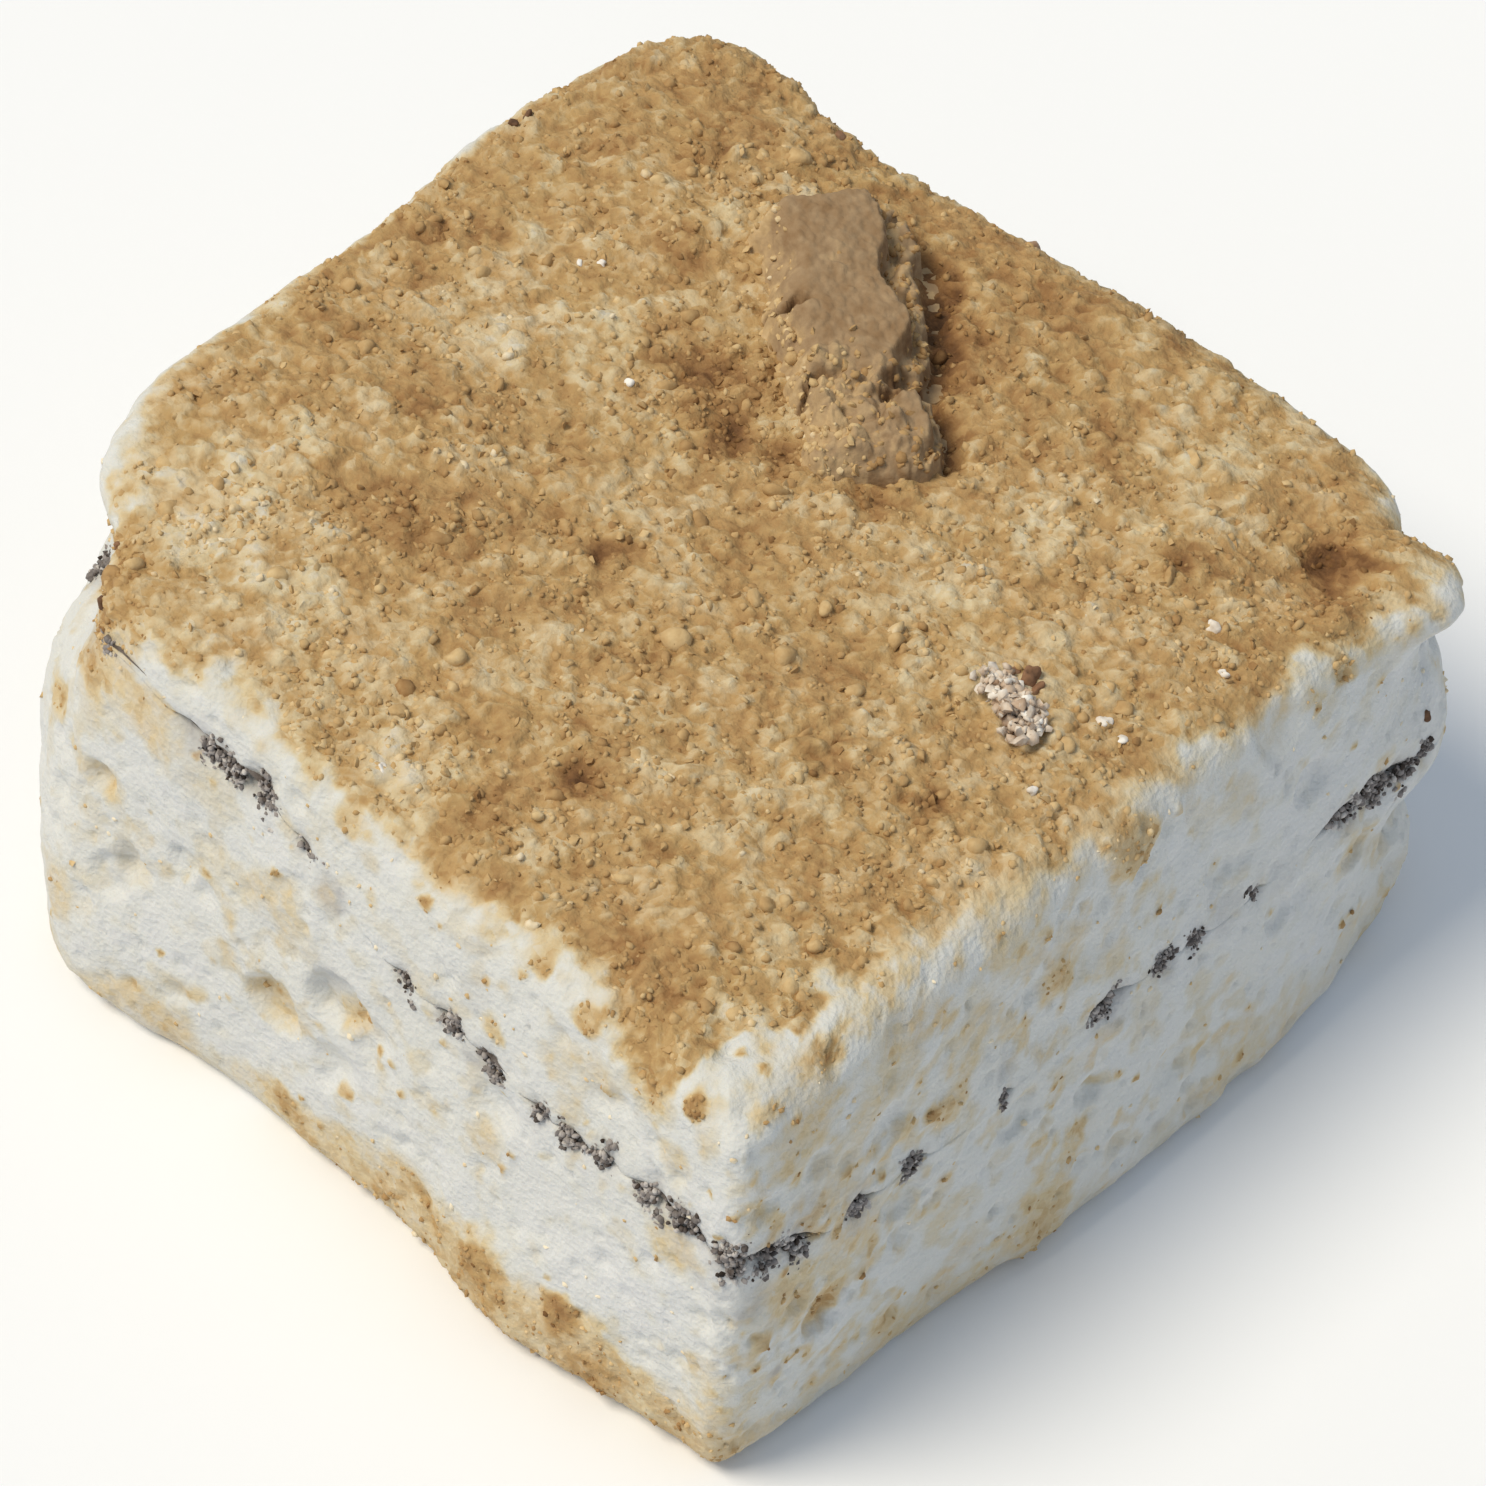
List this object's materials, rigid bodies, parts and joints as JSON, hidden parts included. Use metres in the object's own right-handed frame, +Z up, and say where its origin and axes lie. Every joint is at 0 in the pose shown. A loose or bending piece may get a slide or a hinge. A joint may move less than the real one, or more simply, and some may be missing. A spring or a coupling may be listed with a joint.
{
  "type": "marshmallow",
  "caption": "Square hand-cut marshmallow in poured layers with a dark cookie-crumb filling between them, biscuit crumbs all over its top and a lump of biscuit lying there.",
  "frame": {"origin": "middle of the marshmallow's footprint, on the table it rests on", "axes": "+Z up; -Y is the cut side with the rising filling line, +X the cut side with the level filling line"},
  "size_m": [0.044, 0.0437, 0.0228],
  "materials": {
    "marshmallow": "soft matt white marshmallow, slightly translucent, stained by crumbs",
    "crumbed_marshmallow": "matt golden biscuit crumbs pressed into white marshmallow",
    "cookie_crumb": "dry dark cookie crumbs dusted with sugar",
    "biscuit": "dry crumbly tan biscuit"
  },
  "bodies": {
    "root": {"lower_layer": "marshmallow", "crumb_filling": "cookie_crumb", "upper_layer": "crumbed_marshmallow", "biscuit_lump": "biscuit"}
  },
  "joints": []
}
